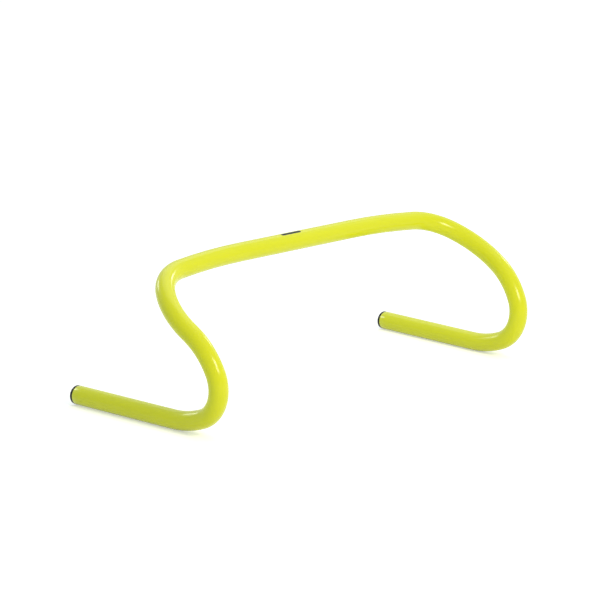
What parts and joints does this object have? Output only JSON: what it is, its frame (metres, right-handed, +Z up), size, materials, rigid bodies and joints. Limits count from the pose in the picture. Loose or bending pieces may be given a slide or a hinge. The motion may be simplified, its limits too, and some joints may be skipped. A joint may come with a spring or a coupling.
{
  "type": "speed hurdle",
  "caption": "Low training hurdle bent from a single plastic tube, with a raised crossbar, raked legs and feet that lie flat on the floor, closed by push-in end plugs.",
  "frame": {"origin": "on the floor, in the middle of the hurdle's footprint", "axes": "+X along the crossbar, +Y the way the feet point, from the heels to the end plugs, +Z up"},
  "size_m": [0.4598, 0.2043, 0.1524],
  "materials": {
    "tube_plastic": "glossy extruded PVC, fluorescent lime yellow, smooth over the bends",
    "plug_plastic": "satin black moulded polyethylene"
  },
  "bodies": {
    "root": {"bent_tube": "tube_plastic", "left_end_plug": "plug_plastic", "right_end_plug": "plug_plastic"}
  },
  "joints": []
}
